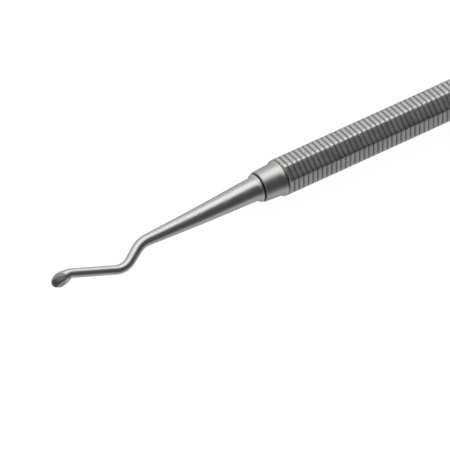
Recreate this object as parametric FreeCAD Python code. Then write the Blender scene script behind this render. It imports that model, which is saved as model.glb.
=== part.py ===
import FreeCAD, Part
import math
import os

# Double-ended spoon excavator: an octagonal steel handle, ring-grooved over its
# whole grip, with a bent working end pressed into the collar at each of its ends.
# Millimetres. X runs along the handle and Z is up. The origin is the middle of
# the flat that the handle lies on. The bends lie in the horizontal plane and
# point to -Y, and both bowls open upwards, a little towards -Y.

# Octagonal grip
across_flats = 6.0
corner_radius = 0.7
grip_length = 84.9
groove_pitch = 0.875
groove_width = 0.36
groove_depth = 0.17

# Turned collar at each end of the grip, with a lip between two gentle slopes
collar_length = 4.03
collar_nose_diameter = 5.00
collar_root_diameter = 5.38
collar_chamfer = 0.12
flare_angle = 36.0
flare_fillet = 0.80
lip_diameter = 6.00
lip_length = 0.12
lip_groove_diameter = 5.66
lip_groove_flank = 60.0

# Seam between the collar and the foot of the working end
seam_width = 0.26
seam_diameter = 3.80

# Tang of the working end and its socket in the handle
tang_diameter = 2.60
tang_length = 9.0
tang_chamfer = 0.30
tang_clearance = 0.01
socket_spare = 0.40

# Foot and straight tapered shank, measured from the seam towards the tip
foot_diameter = 4.86
foot_chamfer = 0.06
foot_front_angle = 42.0
foot_fillet = 0.80
foot_run = 1.4
cone_root_diameter = 3.92
cone_end_diameter = 1.88

# Shank: it leaves the foot with a slight lean and bows back by its end
shank_reach = 21.95
shank_lean_place = 1.8
shank_lean_angle = 1.5
shank_lean_radius = 20.0
shank_end_angle = 0.3
shank_bow_radius = 450.0

# Bends: the step down from the line of the shank and the long rise back to it
step_length = 4.99
step_angle = 33.1
step_radius = 4.5
rise_length = 9.27
rise_angle = 18.7
rise_radius = 3.3
terminal_diameter = 1.47

# Spoon: its body, the flat face ground across it and the scoop milled from the neck.
# Heights are above the centre line, and the near side is the one towards -Y.
bowl_angle = 8.5
bowl_bend_radius = 2.4
bowl_offset = 1.8
bowl_half_width = 1.13
bowl_half_depth = 1.00
bowl_nose_length = 1.66
bowl_roll = -20.0
face_height = 0.82
face_slope = 20.0
face_roll = 28.0
scoop_turn = 9.0
scoop_near_side = 0.43
scoop_far_side = 1.03
scoop_near_radius = 0.10
scoop_far_radius = 0.30
scoop_top = 0.93
scoop_start = 0.85
scoop_ramp_angle = 36.0
scoop_floor = -0.40
scoop_front_angle = 27.0
scoop_blend_radius = 1.8
scoop_floor_radius = 1.3

# Cross-sections that carry the loft from the round neck to the widest part
neck_sections = 8

AXIS_X = FreeCAD.Vector(1, 0, 0)
AXIS_Y = FreeCAD.Vector(0, 1, 0)
AXIS_Z = FreeCAD.Vector(0, 0, 1)
seam_x = grip_length / 2 + collar_length
seat_x = seam_x - seam_width / 2
# An even number of grooves leaves a full ridge in the middle of the grip
groove_count = 2 * int(grip_length / groove_pitch / 2)


def rounded_path(points, radii):
    """Edges through the points, with a tangent arc in place of each inner corner.

    radii holds one radius for each inner corner, and 0 keeps that corner sharp.
    """
    edges = []
    start = points[0]
    for before, corner, after, radius in zip(points, points[1:], points[2:], radii):
        if radius == 0:
            edges.append(Part.makeLine(start, corner))
            start = corner
            continue
        back = (before - corner).normalize()
        ahead = (after - corner).normalize()
        half = back.getAngle(ahead) / 2
        inward = (back + ahead).normalize()
        first = corner + back * (radius / math.tan(half))
        middle = corner + inward * (radius / math.sin(half) - radius)
        last = corner + ahead * (radius / math.tan(half))
        edges.append(Part.makeLine(start, first))
        edges.append(Part.Arc(first, middle, last).toShape())
        start = last
    edges.append(Part.makeLine(start, points[-1]))
    return edges


def turned(outline, fillets=None):
    """Solid of revolution about X from a closed outline of (x, radius) pairs.

    fillets maps the place of a corner in the outline to its radius.
    """
    corners = [FreeCAD.Vector(x, radius, 0) for x, radius in outline]
    radii = [(fillets or {}).get(place, 0) for place in range(1, len(corners))]
    edges = rounded_path(corners + [corners[0]], radii)
    return Part.Face(Part.Wire(edges)).revolve(FreeCAD.Vector(), AXIS_X, 360)


def bar_section(x, inset):
    """Octagon across the X axis, each of its corners broken by a narrow flat.

    The corner flat touches the arc of corner_radius that it stands for, and all
    sixteen sides lie inset below the full size of the bar.
    """
    flat = across_flats / 2
    turn = math.pi / 8
    corner = (flat - corner_radius) / math.cos(turn) + corner_radius
    reach = (corner - flat * math.cos(turn)) / math.sin(turn)
    vertex_angle = math.atan2(reach, flat)
    vertex_radius = math.hypot(reach, flat) - inset / math.cos(vertex_angle)
    vertices = []
    for side in range(8):
        for angle in (side * 2 * turn - vertex_angle, side * 2 * turn + vertex_angle):
            y = vertex_radius * math.cos(angle)
            z = vertex_radius * math.sin(angle)
            vertices.append(FreeCAD.Vector(x, y, z))
    return Part.makePolygon(vertices + [vertices[0]])


def tapered_bar(start_x, start_inset, end_x, end_inset):
    """Short length of the bar between two of its sections, with flat sides."""
    start = bar_section(start_x, start_inset)
    end = bar_section(end_x, end_inset)
    faces = [Part.Face(start), Part.Face(end)]
    for near, far in zip(start.Edges, end.Edges):
        a, b = (near.valueAt(near.FirstParameter), near.valueAt(near.LastParameter))
        c, d = (far.valueAt(far.LastParameter), far.valueAt(far.FirstParameter))
        faces.append(Part.Face(Part.makePolygon([a, b, c, d, a])))
    return Part.Solid(Part.makeShell(faces))


def groove_cutter():
    """Ring of V section, centred on x = 0, that follows the sides of the bar."""
    half = groove_width / 2
    ring = Part.makeCylinder(across_flats, groove_width, FreeCAD.Vector(-half, 0, 0), AXIS_X)
    return ring.cut([
        tapered_bar(-half, 0, 0, groove_depth),
        tapered_bar(0, groove_depth, half, 0),
    ])


def turning_waste():
    """What turning takes off the +X end of the bar round the collar and the lip."""
    clear = across_flats
    nose = collar_nose_diameter / 2
    root = collar_root_diameter / 2
    lip = lip_diameter / 2
    bottom = lip_groove_diameter / 2
    # The lip's own groove takes the place of the next ring groove
    groove_x = groove_pitch * (groove_count + 1) / 2
    lip_x = groove_x + groove_width / 2 + lip_length
    flare_run = (lip - root) / math.tan(math.radians(flare_angle))
    flank_run = (clear - bottom) / math.tan(math.radians(lip_groove_flank))
    outline = [
        (seat_x + seam_width, clear),
        (seat_x + seam_width, nose - collar_chamfer),
        (seat_x, nose - collar_chamfer),
        (seat_x - collar_chamfer, nose),
        (lip_x + flare_run, root),
        (lip_x, lip),
        (lip_x - lip_length, lip),
        (groove_x, bottom),
        (groove_x - flank_run, clear),
    ]
    return turned(outline, {4: flare_fillet})


def socket():
    """Bore in the +X end of the handle that takes the tang."""
    radius = tang_diameter / 2 + tang_clearance
    depth = tang_length + socket_spare
    return Part.makeCylinder(radius, depth, FreeCAD.Vector(seat_x - depth, 0, 0), AXIS_X)


def make_handle():
    """Grooved octagonal bar with a collar, a lip and a socket at each end."""
    bar = Part.Face(bar_section(-seat_x, 0)).extrude(AXIS_X * 2 * seat_x)
    removed = []
    for tool in (turning_waste(), socket()):
        removed += [tool, tool.mirror(FreeCAD.Vector(), AXIS_X)]
    groove = groove_cutter()
    for place in range(groove_count):
        ring = groove.copy()
        ring.translate(AXIS_X * groove_pitch * (place - (groove_count - 1) / 2))
        removed.append(ring)
    return bar.cut(removed)


def heading(angle):
    """Direction towards the tip of the -X end, angle degrees towards +Y."""
    return FreeCAD.Vector(-math.cos(math.radians(angle)), math.sin(math.radians(angle)), 0)


def centre_line():
    """Centre line of the working end, as joined edges from its foot to the bowl."""
    half = shank_reach / 2
    corners = [heading(0) * foot_run, heading(0) * shank_lean_place]
    corners.append(corners[-1] + heading(-shank_lean_angle) * (half - shank_lean_place))
    corners.append(corners[-1] + heading(-shank_end_angle) * half)
    corners.append(corners[-1] + heading(-step_angle) * step_length)
    corners.append(corners[-1] + heading(rise_angle) * rise_length)
    corners.append(corners[-1] + heading(-bowl_angle) * bowl_offset)
    radii = [shank_lean_radius, shank_bow_radius, step_radius, rise_radius, bowl_bend_radius]
    return rounded_path(corners, radii)


def foot_and_tang(taper):
    """Turned root of the working end: tang, seat, foot and the start of the shank."""
    edge = seam_width / 2
    tang = tang_diameter / 2
    foot = foot_diameter / 2
    seam = seam_diameter / 2
    root = cone_root_diameter / 2
    # Where the slanted front of the foot meets the tapered shank
    slope = math.tan(math.radians(foot_front_angle))
    rim_x = edge + foot_chamfer
    front_x = (foot - root + slope * rim_x) / (slope - taper)
    outline = [
        (edge + tang_length, 0),
        (edge + tang_length, tang - tang_chamfer),
        (edge + tang_length - tang_chamfer, tang),
        (edge, tang),
        (edge, seam),
        (-edge, seam),
        (-edge, foot - foot_chamfer),
        (-rim_x, foot),
        (-front_x, root - taper * front_x),
        (-foot_run, root - taper * foot_run),
        (-foot_run, 0),
    ]
    return turned(outline, {8: foot_fillet})


def tapered_sweep(edges, start_radius, end_radius):
    """Round bar along joined edges, its radius changing evenly with the distance."""
    first, last = edges[0], edges[-1]
    sweep = Part.BRepOffsetAPI.MakePipeShell(Part.Wire(edges))
    for edge, at, radius in (
        (first, first.FirstParameter, start_radius),
        (last, last.LastParameter, end_radius),
    ):
        circle = Part.makeCircle(radius, edge.valueAt(at), edge.tangentAt(at))
        sweep.add(Part.Wire(circle))
    sweep.build()
    sweep.makeSolid()
    return sweep.shape()


def spoon_frame(place, direction):
    """Placement with X along direction, Y across the spoon and Z out of its face."""
    level = FreeCAD.Rotation(direction, AXIS_Z.cross(direction), AXIS_Z, "XZY")
    roll = FreeCAD.Rotation(AXIS_X, bowl_roll)
    return FreeCAD.Placement(place, level * roll)


def spoon_section(place, direction, half_width, half_depth):
    """Elliptical section of the spoon, drawn across its own X axis and placed."""
    stretch = FreeCAD.Matrix()
    stretch.scale(1, half_width, half_depth)
    ring = Part.makeCircle(1, FreeCAD.Vector(), AXIS_X).transformGeometry(stretch)
    ring.Placement = spoon_frame(place, direction)
    return Part.Wire(ring)


def front_half_ellipsoid(length, width, depth):
    """Front half of a ball, stretched to three half sizes."""
    stretch = FreeCAD.Matrix()
    stretch.scale(length, width, depth)
    half_ball = Part.makeSphere(1, FreeCAD.Vector(), AXIS_X, 0, 90, 360)
    return half_ball.transformGeometry(stretch)


def along(path, distance):
    """Place and direction at a distance along a list of joined edges."""
    for edge in path[:-1]:
        if distance <= edge.Length:
            break
        distance -= edge.Length
    else:
        edge = path[-1]
    at = edge.getParameterByLength(min(distance, edge.Length))
    return edge.valueAt(at), edge.tangentAt(at)


def spoon_body(path):
    """Loft from the round shank to the widest section, closed by a rounded nose."""
    radius = terminal_diameter / 2
    length = sum(edge.Length for edge in path)
    sections = []
    for step in range(neck_sections):
        share = step / (neck_sections - 1)
        growth = (1 - math.cos(math.pi * share)) / 2
        place, direction = along(path, share * length)
        half_width = radius + (bowl_half_width - radius) * growth
        half_depth = radius + (bowl_half_depth - radius) * growth
        sections.append(spoon_section(place, direction, half_width, half_depth))
    neck = Part.makeLoft(sections, True, False)
    nose = front_half_ellipsoid(bowl_nose_length, bowl_half_width, bowl_half_depth)
    nose.Placement = spoon_frame(place, direction)
    return neck, nose


def face_cutter():
    """Block above the ground face, which slopes down to the tip and the far side."""
    size = 4 * bowl_half_width
    block = Part.makeBox(2 * size, 2 * size, size, FreeCAD.Vector(-size, -size, 0))
    slope = FreeCAD.Rotation(AXIS_Y, face_slope)
    roll = FreeCAD.Rotation(AXIS_X, face_roll)
    block.Placement = FreeCAD.Placement(AXIS_Z * face_height, slope * roll)
    return block


def follows_floor(edge, y):
    """Whether an edge of the scoop's block bounds its floor, at one side of it."""
    box = edge.BoundBox
    beside = abs(box.YMin - y) < 1e-6 and abs(box.YMax - y) < 1e-6
    upright = box.XLength < 1e-6
    at_top = box.ZMin > 2 * bowl_half_depth
    return beside and not upright and not at_top


def scoop_cutter():
    """What the scoop takes away: a floor swept across, rounded up to two sides."""
    top = 3 * bowl_half_depth
    back = 3 * scoop_start
    ramp = math.tan(math.radians(scoop_ramp_angle))
    front = math.tan(math.radians(scoop_front_angle))
    bottom_x = (scoop_top - scoop_floor) / ramp - scoop_start
    front_x = bottom_x + (top - scoop_floor) / front
    outline = [
        (-back, top),
        (-back, scoop_top),
        (-scoop_start, scoop_top),
        (bottom_x, scoop_floor),
        (front_x, top),
        (-back, top),
    ]
    corners = [FreeCAD.Vector(x, -scoop_far_side, z) for x, z in outline]
    radii = [0, scoop_blend_radius, scoop_floor_radius, 0]
    side_view = Part.Face(Part.Wire(rounded_path(corners, radii)))
    block = side_view.extrude(AXIS_Y * (scoop_near_side + scoop_far_side))
    for y, radius in ((-scoop_far_side, scoop_far_radius), (scoop_near_side, scoop_near_radius)):
        rounded = [edge for edge in block.Edges if follows_floor(edge, y)]
        block = block.makeFillet(radius, rounded)
    return block


def make_working_end():
    """Working end of the -X end, with the middle of its seam at the origin."""
    path = centre_line()
    shank, bends, terminal, spoon_path = path[0:5], path[5:8], path[8:9], path[9:]
    shank_length = sum(edge.Length for edge in shank)
    root = cone_root_diameter / 2
    end = cone_end_diameter / 2
    taper = (root - end) / (foot_run + shank_length)
    thin = terminal_diameter / 2
    neck, nose = spoon_body(spoon_path)
    pieces = [
        tapered_sweep(shank, root - taper * foot_run, end),
        tapered_sweep(bends, end, thin),
        tapered_sweep(terminal, thin, thin),
        neck,
        nose,
    ]
    place, direction = along(spoon_path, sum(edge.Length for edge in spoon_path))
    solid = foot_and_tang(taper).fuse(pieces)
    scoop = scoop_cutter()
    scoop.rotate(FreeCAD.Vector(), AXIS_Z, scoop_turn)
    cutters = [face_cutter(), scoop]
    for cutter in cutters:
        cutter.Placement = spoon_frame(place, direction) * cutter.Placement
    return solid.cut(cutters).Solids[0]


handle = make_handle().Solids[0]
left_end = make_working_end()
left_end.translate(FreeCAD.Vector(-seam_x, 0, 0))
nodes = {
    "handle": handle,
    "left_working_end": left_end,
    "right_working_end": left_end.mirror(FreeCAD.Vector(), AXIS_X),
}
os.makedirs("parts", exist_ok=True)
for name, shape in nodes.items():
    shape.translate(AXIS_Z * across_flats / 2)
    shape.exportStep("parts/" + name + ".step")
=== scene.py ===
"""Looks of the double-ended spoon excavator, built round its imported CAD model.

Lengths are millimetres until a mesh is made. X runs along the handle and Z is
up. The handle lies on one of its flats, and its axis is half the size across
flats above the floor.
"""
import math

import bpy
import numpy as np
from mathutils import Matrix, Vector


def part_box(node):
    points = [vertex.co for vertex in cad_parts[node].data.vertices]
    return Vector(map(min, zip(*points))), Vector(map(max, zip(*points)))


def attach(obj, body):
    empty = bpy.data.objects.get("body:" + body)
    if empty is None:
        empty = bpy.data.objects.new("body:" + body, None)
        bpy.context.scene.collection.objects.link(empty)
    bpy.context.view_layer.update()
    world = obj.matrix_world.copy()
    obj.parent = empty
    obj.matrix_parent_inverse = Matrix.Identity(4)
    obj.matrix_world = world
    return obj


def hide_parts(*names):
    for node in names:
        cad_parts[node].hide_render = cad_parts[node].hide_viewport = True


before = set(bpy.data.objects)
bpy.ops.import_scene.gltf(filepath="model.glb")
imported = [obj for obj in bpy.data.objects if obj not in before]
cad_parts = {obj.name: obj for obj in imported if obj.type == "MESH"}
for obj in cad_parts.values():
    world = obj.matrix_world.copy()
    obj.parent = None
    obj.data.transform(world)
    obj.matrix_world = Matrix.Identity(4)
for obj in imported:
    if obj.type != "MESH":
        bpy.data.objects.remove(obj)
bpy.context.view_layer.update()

MM = 0.001
handle_low, handle_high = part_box("handle")

# Octagonal grip with its ring grooves
across_flats = (handle_high.z - handle_low.z) / MM
corner_radius = 0.7
grip_length = 84.9
groove_pitch = 0.875
groove_width = 0.36
groove_depth = 0.17
groove_rounding = 0.035
groove_count = 2 * int(grip_length / groove_pitch / 2)
lip_groove_x = groove_pitch * (groove_count / 2 + 0.5)

# Turned collar and lip
seat_x = handle_high.x / MM
seam_width = 0.26
collar_nose_diameter = 5.00
collar_root_diameter = 5.38
collar_chamfer = 0.12
lip_diameter = 6.0
lip_length = 0.12
flare_angle = 36.0
flare_fillet = 0.80
lip_groove_diameter = 5.66
lip_groove_flank = 60.0
edge_rounding = 0.05
turning_clearance = 0.36
# Strength of the painted shade over the chamfer that meets the seam
chamfer_painted_shade = 0.6

# Socket of the handle and tang of the working end
tang_diameter = 2.60
tang_length = 9.0
tang_chamfer = 0.30
tang_clearance = 0.01
socket_spare = 0.40

# Foot and tapered shank
seam_diameter = 3.80
foot_diameter = 4.86
foot_rounding = 0.10
foot_front_angle = 42.0
foot_fillet = 0.80
foot_run = 1.4
cone_root_diameter = 3.92
cone_end_diameter = 1.88
shank_reach = 21.95
shank_lean_place = 1.8
shank_lean_angle = 1.5
shank_lean_radius = 20.0
shank_end_angle = 0.3
shank_bow_radius = 450.0

# Bends
step_length = 4.99
step_angle = 33.1
step_radius = 4.5
rise_length = 9.27
rise_angle = 18.7
rise_radius = 3.3
terminal_diameter = 1.47

# Spoon: its body, the face ground across it and the scoop milled from the neck
bowl_angle = 8.5
bowl_bend_radius = 2.4
bowl_offset = 1.8
bowl_half_width = 1.13
bowl_half_depth = 1.00
bowl_nose_length = 1.66
bowl_roll = -20.0
face_height = 0.82
face_slope = 20.0
face_roll = 28.0
scoop_turn = 20.0
scoop_near_side = 0.53
scoop_far_side = 1.03
scoop_near_radius = 0.10
scoop_far_radius = 0.30
scoop_top = 0.93
scoop_start = 0.85
scoop_ramp_angle = 36.0
scoop_floor = -0.40
scoop_front_angle = 27.0
scoop_blend_radius = 1.8
scoop_floor_radius = 1.3
scoop_wall_angle = 78.0
scoop_reach_back = 9.0
scoop_reach_ahead = 5.0

# Fineness of the meshes
rows_per_groove = 12
groove_zone = 1.3
groove_crowding = 0.8
ridge_places = (0.36, 0.5)
collar_step = 0.2
foot_step = 0.1
route_step = 0.05
sharp_angle = 38.0
outer_columns = 84
inner_columns = 120
plain_rim_angle = 35.0
rim_reach_radians = 0.6
rim_halvings = 24
neck_milled = 1.0
sweep_step = 0.25
spoon_step = 0.03
nose_rows = 64


# Shapes worked out as whole arrays

def rounded_outline(corners, radii, steps=6):
    """Open outline through the corners, each inner one replaced by an arc.

    The arc of radius r touches both runs at r / tan(half the corner's angle)
    from the corner, and its centre lies r / sin(half) along the bisector. Its
    points are even turns about that centre. A radius of 0 keeps the corner.
    """
    corners = np.asarray(corners, float)
    pieces = [corners[:1]]
    for before, corner, after, radius in zip(corners, corners[1:], corners[2:], radii):
        back = (before - corner) / np.linalg.norm(before - corner)
        ahead = (after - corner) / np.linalg.norm(after - corner)
        half = math.acos(np.clip(back @ ahead, -1, 1)) / 2
        if radius == 0:
            pieces.append(corner[None])
            continue
        bisector = (back + ahead) / np.linalg.norm(back + ahead)
        centre = corner + bisector * radius / math.sin(half)
        spoke = corner + back * radius / math.tan(half) - centre
        sense = np.sign(spoke[0] * -back[1] + spoke[1] * back[0])
        turn = np.linspace(0, math.pi - 2 * half, steps) * sense
        arc_x = spoke[0] * np.cos(turn) - spoke[1] * np.sin(turn)
        arc_y = spoke[0] * np.sin(turn) + spoke[1] * np.cos(turn)
        pieces.append(centre + np.stack([arc_x, arc_y], 1))
    pieces.append(corners[-1:])
    return np.concatenate(pieces)


def divided(outline, step):
    """Outline whose longer runs are cut into equal lengths of at most step."""
    run = np.linalg.norm(np.diff(outline, axis=0), axis=1)
    cuts = np.maximum(np.ceil(run / step), 1).astype(int)
    place = np.concatenate([i + np.arange(n) / n for i, n in enumerate(cuts)] + [[len(run)]])
    index = np.arange(len(outline))
    return np.stack([np.interp(place, index, outline[:, axis]) for axis in (0, 1)], 1)


def place_object(name, data):
    """Object that holds the data at the origin, linked to the scene."""
    holder = bpy.data.objects.new(name, data)
    bpy.context.scene.collection.objects.link(holder)
    return holder


def closed_tube_mesh(name, rows, attributes):
    """Mesh over rows of points, each row a closed ring, with a pole at each end.

    rows has the shape (rows, columns, 3) in millimetres. The first and last rows
    are single places, and each becomes one vertex at the hub of a fan. The sign
    of the enclosed volume decides which way round the faces run. attributes maps
    a name to one value for each row.
    """
    rows = np.asarray(rows, float)
    count, columns = rows.shape[0] - 2, rows.shape[1]
    vertices = np.concatenate([rows[1:-1].reshape(-1, 3), rows[:1, 0], rows[-1:, 0]]) * MM
    ring = np.arange(count - 1)[:, None] * columns
    column = np.arange(columns)[None, :]
    beside = (column + 1) % columns
    quads = np.stack([ring + column, ring + beside, ring + columns + beside,
                      ring + columns + column], -1).reshape(-1, 4)
    last = (count - 1) * columns
    start_fan = np.stack([beside[0], column[0], np.full(columns, count * columns)], 1)
    end_fan = np.stack([last + column[0], last + beside[0],
                        np.full(columns, count * columns + 1)], 1)
    corners = vertices[quads]
    across = np.cross(corners[:, 2] - corners[:, 0], corners[:, 3] - corners[:, 1])
    volume = (corners.mean(1) * across).sum()
    order = slice(None) if volume > 0 else slice(None, None, -1)
    faces = quads[:, order].tolist()
    faces += start_fan[:, order].tolist() + end_fan[:, order].tolist()
    mesh = bpy.data.meshes.new(name)
    mesh.from_pydata(vertices.tolist(), [], faces)
    mesh.update()
    for label, values in attributes.items():
        layer = mesh.attributes.new(label, "FLOAT", "POINT")
        inner = np.asarray(values, float)[1:-1]
        spread = np.broadcast_to(inner[:, None], (count, columns)).ravel()
        ends = [values[0], values[-1]]
        layer.data.foreach_set("value", np.concatenate([spread, ends]).astype(np.float32))
    mesh.shade_smooth()
    mesh.set_sharp_from_angle(angle=math.radians(sharp_angle))
    return place_object(name, mesh)


# Handle

def octagon_columns(flat_cuts=5, arc_cuts=4):
    """Core points and outward directions round the octagon with rounded corners.

    A point of the section is its core point plus (corner radius - inset) times
    its direction. On a flat the core point moves and the direction stays. On a
    corner the core point stays and the direction turns by an eighth.
    """
    core_flat = across_flats / 2 - corner_radius
    half_side = core_flat * math.tan(math.pi / 8)
    slide = np.linspace(-half_side, half_side, flat_cuts + 1)
    swing = np.linspace(0, math.pi / 4, arc_cuts + 1)[1:-1]
    along_side = np.concatenate([slide, np.full(len(swing), half_side)])
    turn = np.concatenate([np.zeros(len(slide)), swing])
    side = (np.arange(8) * math.pi / 4)[:, None]
    core_y = core_flat * np.cos(side) - along_side * np.sin(side)
    core_z = core_flat * np.sin(side) + along_side * np.cos(side)
    out = side + turn
    core = np.stack([core_y.ravel(), core_z.ravel()], 1)
    return core, np.stack([np.cos(out).ravel(), np.sin(out).ravel()], 1)


def groove_inset(x):
    """Depth below the ridges at x: V grooves at even pitch, softly rounded.

    The distance p to the nearest groove becomes sqrt(p^2 + r^2), which rounds
    the bottom. The V's depth q = half width - that distance becomes
    (q + sqrt(q^2 + r^2)) / 2, which rounds both of its lips.
    """
    phase = x / groove_pitch + groove_count / 2
    nearest = np.clip(np.round(phase - 0.5), 0, groove_count - 1)
    offset = (phase - 0.5 - nearest) * groove_pitch
    reach = groove_width / 2 - np.sqrt(offset ** 2 + groove_rounding ** 2)
    slope = groove_depth / (groove_width / 2)
    return slope * (reach + np.sqrt(reach ** 2 + groove_rounding ** 2)) / 2


def grip_stations():
    """Places along the grip: rows_per_groove to a pitch, crowded round each groove.

    Two rows of each pitch lie on the ridge. The others lie within the groove's
    zone, at its half width times a power of their even share.
    """
    ridge = np.array(ridge_places) * groove_pitch
    share = np.linspace(-1, 1, rows_per_groove - len(ridge))
    near = np.sign(share) * np.abs(share) ** groove_crowding * groove_width / 2 * groove_zone
    centre = (np.arange(groove_count) - (groove_count - 1) / 2) * groove_pitch
    start = centre[0] - ridge[::-1]
    return np.concatenate([start, (centre[:, None] + np.concatenate([near, ridge])).ravel()])


def collar_outline():
    """(x, radius) of the +X end: first ridge, turned groove, lip, flare, collar, face."""
    lip = lip_diameter / 2
    root = collar_root_diameter / 2
    nose = collar_nose_diameter / 2
    clear = across_flats / 2 + turning_clearance
    bottom = lip_groove_diameter / 2
    flank_run = (clear - bottom) / math.tan(math.radians(lip_groove_flank))
    lip_x = lip_groove_x + groove_width / 2
    flare_run = (lip - root) / math.tan(math.radians(flare_angle))
    corners = [
        (lip_groove_x - flank_run, clear),
        (lip_groove_x, bottom),
        (lip_x, lip),
        (lip_x + lip_length / 2, lip),
        (lip_x + lip_length / 2 + flare_run, root),
        (seat_x - collar_chamfer, nose),
        (seat_x, nose - collar_chamfer),
        (seat_x, tang_diameter / 2 + tang_clearance),
    ]
    radii = (groove_rounding, edge_rounding, edge_rounding * 2, flare_fillet,
             edge_rounding, edge_rounding)
    return divided(rounded_outline(corners, radii), collar_step)


def make_handle():
    """Grooved octagonal bar with turned ends, as one surface round the X axis.

    Each ring is the octagon at its groove depth, and no point lies farther from
    the axis than the turned outline allows at that x. The rings run from the
    bottom of one socket, out over the whole bar, to the bottom of the other.
    The attribute of painted shade is 1 in the lower half of a groove and 0 on the
    ridges. It also rises in the lip's groove and over the chamfer that meets the
    seam, painting shade there too.
    """
    core, direction = octagon_columns()
    x_grip = grip_stations()
    outline = collar_outline()
    bore = tang_diameter / 2 + tang_clearance
    floor_x = seat_x - tang_length - socket_spare
    inside = np.array([(floor_x, bore), (floor_x, 0)])
    end = np.concatenate([outline, inside])
    x = np.concatenate([-end[::-1, 0], x_grip, end[:, 0]])
    limit = np.concatenate([end[::-1, 1], np.full(len(x_grip), np.inf), end[:, 1]])
    inset = np.concatenate([np.zeros(len(end)), groove_inset(x_grip), np.zeros(len(end))])
    # Painted shade: full in the lower half of each groove, also in the lip's groove and over
    # the chamfer at the seam
    groove_and_seam_shade = np.clip(2 * inset / groove_depth, 0, 1)
    groove_and_seam_shade += np.clip(1 - np.abs(np.abs(x) - lip_groove_x) / (groove_width / 2), 0, 1)
    past_chamfer = (np.abs(x) - seat_x + collar_chamfer) / collar_chamfer
    groove_and_seam_shade += np.clip(past_chamfer, 0, 1) * chamfer_painted_shade
    section = core + direction * (corner_radius - inset)[:, None, None]
    size = np.linalg.norm(section, axis=2)
    section = section * (np.minimum(size, limit[:, None]) / size)[..., None]
    rows = np.concatenate([np.broadcast_to(x[:, None, None], size.shape + (1,)), section], 2)
    rows = rows + np.array([0, 0, across_flats / 2])
    return closed_tube_mesh("handle_dressed", rows, {"groove_and_seam_shade": groove_and_seam_shade})


# Working ends

route_radii = np.array([shank_lean_radius, shank_bow_radius, step_radius, rise_radius,
                        bowl_bend_radius])


def route_corners():
    """Corners of the centre line, from the seam to the middle of the bowl."""
    def on(angle, length):
        angle = math.radians(angle)
        return np.array([-math.cos(angle), math.sin(angle)]) * length

    half = shank_reach / 2
    return np.cumsum([
        on(0, 0),
        on(0, shank_lean_place),
        on(-shank_lean_angle, half - shank_lean_place),
        on(-shank_end_angle, half),
        on(-step_angle, step_length),
        on(rise_angle, rise_length),
        on(-bowl_angle, bowl_offset),
    ], axis=0)


def centre_line():
    """Sampled centre line of the working end: distance, place and heading.

    Distance runs from the seam towards the tip. The heading is the angle of the
    tangent, measured from -X towards +Y.
    """
    fine = divided(rounded_outline(route_corners(), route_radii, steps=33), route_step)
    run = np.diff(fine, axis=0)
    length = np.linalg.norm(run, axis=1)
    distance = np.concatenate([[0], np.cumsum(length)])
    heading = np.arctan2(run[:, 1], -run[:, 0])
    middle = (distance[1:] + distance[:-1]) / 2
    return distance, fine, middle, heading


def route_lengths():
    """Distances at which shank, bends, terminal and spoon path end on the route.

    A corner of turn a and radius r swaps r * tan(a / 2) of both its straight runs
    for an arc of length r * a.
    """
    run = np.diff(route_corners(), axis=0)
    turn = np.abs(np.diff(np.arctan2(run[:, 1], -run[:, 0])))
    lost = np.pad(route_radii * np.tan(turn / 2), 1)
    arc = np.append(route_radii * turn, 0)
    straight = np.linalg.norm(run, axis=1) - lost[:-1] - lost[1:]
    arc_end = np.cumsum(straight + arc)
    straight_end = arc_end - arc
    return straight_end[2], arc_end[3], straight_end[4], straight_end[5]


def foot_outline(taper):
    """(distance from the seam, radius) over tang, seat and foot to the shank."""
    edge = seam_width / 2
    tang = tang_diameter / 2
    foot = foot_diameter / 2
    root = cone_root_diameter / 2
    slope = math.tan(math.radians(foot_front_angle))
    front_end = (foot - root + slope * edge) / (slope - taper)
    hidden = [
        (-edge - tang_length, 0),
        (-edge - tang_length, tang - tang_chamfer),
        (-edge - tang_length + tang_chamfer, tang),
        (-edge, tang),
        (-edge, seam_diameter / 2),
        (edge, seam_diameter / 2),
    ]
    corners = [
        (edge, seam_diameter / 2),
        (edge, foot),
        (front_end, root - taper * front_end),
        (foot_run, root - taper * foot_run),
    ]
    radii = (foot_rounding, foot_fillet)
    seen = divided(rounded_outline(corners, radii, steps=9), foot_step)
    return np.concatenate([hidden[:-1], seen])


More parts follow.
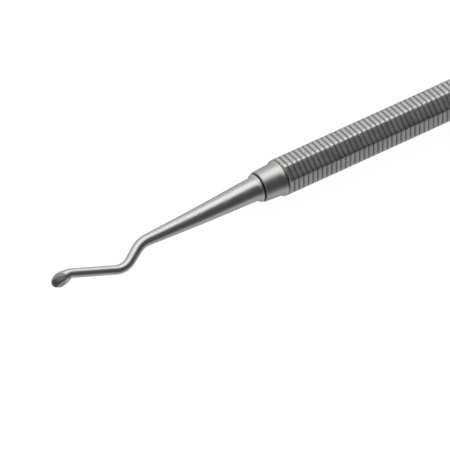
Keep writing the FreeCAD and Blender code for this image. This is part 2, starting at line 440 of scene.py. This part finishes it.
def scoop_surface(x, y):
    """Height in the spoon's frame above which the steel is ground or milled away.

    The ground face is a plane that slopes down towards the tip and to the far
    side. x points to the tip, and y > 0 is the near side. The scoop is turned
    about the upright, so that it opens towards the near side. Its floor runs level
    over the neck, down a ramp, through an arc and up to the tip. Near its sides
    it rises by (r - sqrt(r^2 - d^2)) / cos(slope), where r is the radius at that
    side and d is how far y lies past the place where the rounding starts. Beyond
    its sides a wall rises at the wall angle. The lower of scoop and face counts.
    """
    face = (face_height - x * math.tan(math.radians(face_slope))
            + y * math.tan(math.radians(face_roll)) / math.cos(math.radians(face_slope)))
    turn = math.radians(scoop_turn)
    x, y = x * math.cos(turn) + y * math.sin(turn), y * math.cos(turn) - x * math.sin(turn)
    ramp = math.tan(math.radians(scoop_ramp_angle))
    front = math.tan(math.radians(scoop_front_angle))
    bottom_x = (scoop_top - scoop_floor) / ramp - scoop_start
    corners = [
        (-scoop_reach_back, scoop_top),
        (-scoop_start, scoop_top),
        (bottom_x, scoop_floor),
        (bottom_x + scoop_reach_ahead, scoop_floor + scoop_reach_ahead * front),
    ]
    side_view = rounded_outline(corners, (scoop_blend_radius, scoop_floor_radius), steps=40)
    floor = np.interp(x, side_view[:, 0], side_view[:, 1])
    run = np.diff(side_view, axis=0)
    secant = np.linalg.norm(run, axis=1) / run[:, 0]
    steep = np.interp(x, (side_view[1:, 0] + side_view[:-1, 0]) / 2, secant)
    radius = np.where(y > 0, scoop_near_radius, scoop_far_radius)
    depth_in = np.where(y > 0, scoop_near_side - y, scoop_far_side + y)
    past = np.clip(radius - depth_in, 0, radius)
    lift = (radius - np.sqrt(radius ** 2 - past ** 2)) * steep
    wall = np.clip(-depth_in, 0, None) * math.tan(math.radians(scoop_wall_angle))
    return np.minimum(floor + lift + wall, face)


def make_working_end(name, side):
    """Tang, foot, shank, bends and spoon as one swept surface with poles.

    Each ring is an ellipse square to the centre line, rolled with the spoon. Its
    columns are shared out between two rim angles, found by halving where the
    ellipse meets the scoop. What stands above the scoop is lowered onto it. The
    attribute of painted shade is 1 up to the foot and fades over its rounded
    edge, which paints shade into the seam. side is -1 for the end at -X and 1 for
    its mirror image.
    """
    shank_end, bends_end, terminal_end, spoon_end = route_lengths()
    root, cone_end, thin = (d / 2 for d in (cone_root_diameter, cone_end_diameter,
                                            terminal_diameter))
    taper = (root - cone_end) / shank_end
    foot = foot_outline(taper)
    swept = np.arange(foot[-1, 0] + sweep_step, terminal_end - sweep_step / 2, sweep_step)
    swept_radius = np.interp(swept, [0, shank_end, bends_end, terminal_end],
                             [root, cone_end, thin, thin])
    neck = np.linspace(terminal_end, spoon_end, int((spoon_end - terminal_end) / spoon_step))
    growth = (1 - np.cos(math.pi * (neck - terminal_end) / (spoon_end - terminal_end))) / 2
    nose = np.linspace(0, math.pi / 2, nose_rows)[1:]

    distance = np.concatenate([foot[:, 0], swept, neck, np.full(len(nose), spoon_end)])
    plain = np.concatenate([foot[:, 1], swept_radius])
    width = np.concatenate([plain, thin + (bowl_half_width - thin) * growth,
                            bowl_half_width * np.cos(nose)])
    depth = np.concatenate([plain, thin + (bowl_half_depth - thin) * growth,
                            bowl_half_depth * np.cos(nose)])
    beyond = np.concatenate([np.minimum(foot[:, 0], 0), np.zeros(len(swept) + len(neck)),
                             bowl_nose_length * np.sin(nose)])

    route_distance, route, middle, route_heading = centre_line()
    heading = np.interp(distance, middle, route_heading)
    tangent = np.stack([-np.cos(heading), np.sin(heading), np.zeros(len(heading))], 1)
    place = np.zeros((len(distance), 3))
    for axis in (0, 1):
        place[:, axis] = np.interp(distance, route_distance, route[:, axis])
    place += tangent * beyond[:, None]
    level_side = np.stack([-tangent[:, 1], tangent[:, 0], tangent[:, 2]], 1)
    up = np.array([0, 0, 1])
    roll = math.radians(bowl_roll)
    across = level_side * math.cos(roll) + up * math.sin(roll)
    out = up * math.cos(roll) - level_side * math.sin(roll)
    # The spoon's own frame, at the end of the route
    middle_of_bowl = place[-len(nose) - 1]
    axes = np.stack([tangent[-1], across[-1], out[-1]], 1)

    def ring_points(angle):
        return (place[:, None] + (width[:, None] * np.cos(angle))[..., None] * across[:, None]
                + (depth[:, None] * np.sin(angle))[..., None] * out[:, None])

    def above_scoop(angle):
        local = (ring_points(angle) - middle_of_bowl) @ axes
        return local[..., 2] - scoop_surface(local[..., 0], local[..., 1])

    plain_rim = math.radians(plain_rim_angle)
    top = math.pi / 2
    rims = []
    for flank in (0.0, math.pi):
        reach = math.copysign(rim_reach_radians, top - flank)
        low = np.full((len(distance), 1), flank - reach)
        high = np.full((len(distance), 1), top)
        for _ in range(rim_halvings):
            half = (low + high) / 2
            over = above_scoop(half) > 0
            low = np.where(over, low, half)
            high = np.where(over, half, high)
        limit = flank + math.copysign(plain_rim, top - flank)
        rims.append(np.minimum(low, limit) if flank == 0 else np.maximum(low, limit))
    right_rim, left_rim = rims
    inner_share = np.arange(inner_columns) / inner_columns
    outer_share = np.arange(outer_columns) / outer_columns
    angle = np.concatenate([
        right_rim + (left_rim - right_rim) * inner_share,
        left_rim + (right_rim + 2 * math.pi - left_rim) * outer_share,
    ], 1)
    local = (ring_points(angle) - middle_of_bowl) @ axes
    inner = np.arange(angle.shape[1]) < inner_columns
    near_bowl = (distance > terminal_end - neck_milled)[:, None] & inner
    lowered = np.minimum(local[..., 2], scoop_surface(local[..., 0], local[..., 1]))
    local[..., 2] = np.where(near_bowl, lowered, local[..., 2])
    points = local @ axes.T + middle_of_bowl
    points += np.array([-(seat_x + seam_width / 2), 0, across_flats / 2])
    points[..., 0] *= -side
    # Painted shade in the seam: 1 up to the foot, fading over its rounded edge
    groove_and_seam_shade = np.clip((seam_width / 2 + foot_rounding - distance) / foot_rounding, 0, 1)
    return closed_tube_mesh(name, points, {"groove_and_seam_shade": groove_and_seam_shade})


handle = make_handle()
left_end = make_working_end("left_working_end_dressed", -1)
right_end = make_working_end("right_working_end_dressed", 1)


# Materials

def linear(hex_colour):
    """Linear RGBA of an sRGB hex colour such as "A9A8A6"."""
    srgb = np.array([int(hex_colour[i:i + 2], 16) for i in (0, 2, 4)]) / 255
    low = srgb / 12.92
    high = ((srgb + 0.055) / 1.055) ** 2.4
    return (*np.where(srgb <= 0.04045, low, high), 1.0)


def add(tree, kind, settings=None, **links):
    """Adds a node, sets its properties and sockets, and links other outputs to it."""
    node = tree.nodes.new("ShaderNode" + kind)
    for key, value in (settings or {}).items():
        if hasattr(node, key):
            setattr(node, key, value)
        else:
            node.inputs[key].default_value = value
    for socket, source in links.items():
        tree.links.new(source, node.inputs[socket.replace("_", " ")])
    return node


def new_material(name):
    """Empty node material and its output node."""
    material = bpy.data.materials.new(name)
    material.use_nodes = True
    material.node_tree.nodes.clear()
    return material, material.node_tree, add(material.node_tree, "OutputMaterial")


def satin_stainless(name, colours, painted_shade_colour, grain_mm, grain_depth_mm, roughness):
    """Glass-bead-blasted stainless steel: matt silver, broad soft highlights, fine grain.

    Blasting leaves a dimpled grain, and handling polishes it unevenly, which
    shows as cloudy changes of gloss a few millimetres wide. A real grain is
    about 0.03 mm, and is drawn a few times coarser so that it shows. Painted
    shade darkens the grooves and the seam towards a shaded colour, by the mesh's
    own attribute. The edge tint keeps steel's grey where it is seen at a grazing
    angle.
    """
    cloud_mm = 2.5
    gloss_spread = 0.04
    noise_low, noise_high = 0.3, 0.7
    edge_tint = linear("B4B4B4")
    material, tree, output = new_material(name)
    place = add(tree, "TexCoord").outputs["Object"]
    grain = add(tree, "TexNoise", {"Scale": 1 / (grain_mm * MM), "Detail": 3.0,
                                   "Roughness": 0.6}, Vector=place)
    clouds = add(tree, "TexNoise", {"Scale": 1 / (cloud_mm * MM), "Detail": 2.0}, Vector=place)
    gloss = add(tree, "MapRange", {"From Min": noise_low, "From Max": noise_high,
                                   "To Min": roughness - gloss_spread,
                                   "To Max": roughness + gloss_spread},
                Value=clouds.outputs["Fac"])
    tone = add(tree, "ValToRGB", {}, Fac=grain.outputs["Fac"])
    for element, position, colour in zip(tone.color_ramp.elements, (noise_low, noise_high),
                                         colours):
        element.position = position
        element.color = linear(colour)
    bump = add(tree, "Bump", {"Strength": 1.0, "Distance": grain_depth_mm * MM},
               Height=grain.outputs["Fac"])
    # Painted shade: the attribute mixes the steel towards its shaded colour in the grooves and
    # the seam
    groove_and_seam_shade = add(tree, "Attribute", {"attribute_name": "groove_and_seam_shade"})
    painted_shade_mix = add(tree, "Mix", {"data_type": "RGBA"})
    share, unshaded_input, shaded_input = (painted_shade_mix.inputs[i] for i in (0, 6, 7))
    tree.links.new(groove_and_seam_shade.outputs["Fac"], share)
    tree.links.new(tone.outputs["Color"], unshaded_input)
    shaded_input.default_value = linear(painted_shade_colour)
    steel = add(tree, "BsdfPrincipled", {"Metallic": 1.0, "Specular Tint": edge_tint},
                Base_Color=painted_shade_mix.outputs[2], Roughness=gloss.outputs["Result"],
                Normal=bump.outputs["Normal"])
    tree.links.new(steel.outputs["BSDF"], output.inputs["Surface"])
    return material


# The third colour of each steel is the painted shade of the grooves and the seam
grip_steel = satin_stainless(
    "satin_blasted_stainless_grip", colours=("9B9B9B", "B1B1B0"), painted_shade_colour="727272",
    grain_mm=0.16, grain_depth_mm=0.012, roughness=0.40)
end_steel = satin_stainless(
    "satin_blasted_stainless_working_end", colours=("A2A2A2", "B0B0AF"),
    painted_shade_colour="909090", grain_mm=0.14, grain_depth_mm=0.006, roughness=0.38)

for piece, node, slot, material in (
    (handle, "handle", "handle_steel", grip_steel),
    (left_end, "left_working_end", "working_end_steel", end_steel),
    (right_end, "right_working_end", "working_end_steel", end_steel),
):
    piece.data.materials.append(material)
    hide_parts(node)
    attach(piece, "root")


# Floor, lamp, flag and surroundings, in metres

def make_sheet(name, corners, material):
    """Flat stage piece with four corners, which isn't part of the instrument."""
    mesh = bpy.data.meshes.new(name)
    mesh.from_pydata(corners, [], [(0, 1, 2, 3)])
    mesh.materials.append(material)
    sheet = place_object(name, mesh)
    return sheet


def make_floor():
    """Pale studio floor. It shows near white to the camera and in the steel.

    Its white share is a glow that only those rays meet, and the rest is paint,
    which keeps the instrument's shadow.
    """
    half = 6.0
    white_share = 0.84
    white_glow = 1.15
    material, tree, output = new_material("pale_studio_floor")
    path = add(tree, "LightPath")
    seen = path.outputs["Is Camera Ray"]
    for ray in ("Is Glossy Ray", "Is Transmission Ray"):
        either = add(tree, "Math", {"operation": "MAXIMUM"})
        tree.links.new(seen, either.inputs[0])
        tree.links.new(path.outputs[ray], either.inputs[1])
        seen = either.outputs[0]
    share = add(tree, "Math", {"operation": "MULTIPLY"})
    tree.links.new(seen, share.inputs[0])
    share.inputs[1].default_value = white_share
    paint = add(tree, "BsdfDiffuse", {"Color": linear("E8E8E6")})
    white = add(tree, "Emission", {"Color": (1, 1, 1, 1), "Strength": white_glow})
    mix = add(tree, "MixShader")
    for source, socket in zip((share, paint, white), mix.inputs):
        tree.links.new(source.outputs[0], socket)
    tree.links.new(mix.outputs[0], output.inputs["Surface"])
    corners = [(-half, -half, 0), (half, -half, 0), (half, half, 0), (-half, half, 0)]
    make_sheet("floor", corners, material)


def stage_direction(azimuth, elevation):
    """Unit vector at these degrees; azimuth 0 points to +Y and 90 to +X."""
    azimuth = math.radians(azimuth)
    elevation = math.radians(elevation)
    return Vector((math.sin(azimuth) * math.cos(elevation),
                   math.cos(azimuth) * math.cos(elevation), math.sin(elevation)))


def make_softbox(azimuth, elevation, distance, width, height, radiance, colour):
    """Rectangular lamp that stands in that direction and faces the instrument."""
    lamp = bpy.data.lights.new("softbox", "AREA")
    lamp.shape = "RECTANGLE"
    lamp.size = width
    lamp.size_y = height
    lamp.energy = radiance * math.pi * width * height
    lamp.color = linear(colour)[:3]
    softbox = place_object("softbox", lamp)
    towards = stage_direction(azimuth, elevation)
    softbox.location = towards * distance
    softbox.rotation_mode = "QUATERNION"
    softbox.rotation_quaternion = towards.to_track_quat("Z", "Y")
    softbox.visible_camera = False


def make_flag(azimuth, elevation, distance, width, height):
    """Black card in that direction, which shows in reflections alone."""
    towards = stage_direction(azimuth, elevation)
    sideways = stage_direction(azimuth + 90, 0) * width / 2
    upright = towards.cross(sideways).normalized() * height / 2
    centre = towards * distance
    corners = [centre + sideways * a + upright * b
               for a, b in ((-1, -1), (1, -1), (1, 1), (-1, 1))]
    material, tree, output = new_material("black_felt_flag")
    felt = add(tree, "BsdfDiffuse", {"Color": linear("202020")})
    tree.links.new(felt.outputs[0], output.inputs["Surface"])
    flag = make_sheet("flag", corners, material)
    flag.visible_camera = False
    flag.visible_diffuse = False
    flag.visible_shadow = False


def make_surroundings():
    """Studio walls that are pale at the horizon and fall to a dark ceiling."""
    world = bpy.data.worlds.new("studio")
    world.use_nodes = True
    tree = world.node_tree
    tree.nodes.clear()
    height = add(tree, "SeparateXYZ", {}, Vector=add(tree, "TexCoord").outputs["Generated"])
    ramp = add(tree, "ValToRGB", {}, Fac=height.outputs["Z"])
    stops = ((0.0, "FFFFFF"), (0.06, "E4E4E4"), (0.22, "A0A0A1"), (0.45, "5C5C5D"),
             (1.0, "5A5A5B"))
    elements = ramp.color_ramp.elements
    while len(elements) < len(stops):
        elements.new(0.5)
    for element, (position, colour) in zip(elements, stops):
        element.position = position
        element.color = linear(colour)
    backdrop = add(tree, "Background", {"Strength": 1.0}, Color=ramp.outputs["Color"])
    output = add(tree, "OutputWorld")
    tree.links.new(backdrop.outputs[0], output.inputs["Surface"])
    bpy.context.scene.world = world


make_floor()
make_softbox(azimuth=-6, elevation=39, distance=0.6, width=2.0, height=0.62, radiance=2.2,
             colour="FFFFFD")
make_flag(azimuth=-120, elevation=21, distance=0.6, width=0.55, height=0.34)
make_surroundings()


# Camera at the photograph's viewing angle

view_tilt = 24.5
picture_turn = 24.49
picture_width_mm = 69.66
seam_offset_mm = (5.050, 5.809)
lens_mm = 800.0

tilt = math.radians(view_tilt)
turn = math.radians(picture_turn)
back = Vector((-math.sin(tilt), 0, math.cos(tilt)))
along_handle = Vector((math.cos(tilt), 0, math.sin(tilt)))
across_handle = Vector((0, 1, 0))
right = along_handle * math.cos(turn) - across_handle * math.sin(turn)
upward = along_handle * math.sin(turn) + across_handle * math.cos(turn)
camera_data = bpy.data.cameras.new("camera")
camera_data.sensor_width = 36.0
camera_data.lens = lens_mm
camera_data.clip_start = 0.01
camera_data.clip_end = 100.0
camera = place_object("camera", camera_data)
seam_centre = Vector((-(seat_x + seam_width / 2), 0, across_flats / 2)) * MM
target = seam_centre - (right * seam_offset_mm[0] + upward * seam_offset_mm[1]) * MM
camera_distance = picture_width_mm * MM * lens_mm / camera_data.sensor_width
orientation = Matrix((right, upward, back)).transposed()
camera.matrix_world = Matrix.Translation(target + back * camera_distance) @ orientation.to_4x4()
bpy.context.scene.camera = camera
bpy.context.scene.view_settings.view_transform = "Standard"
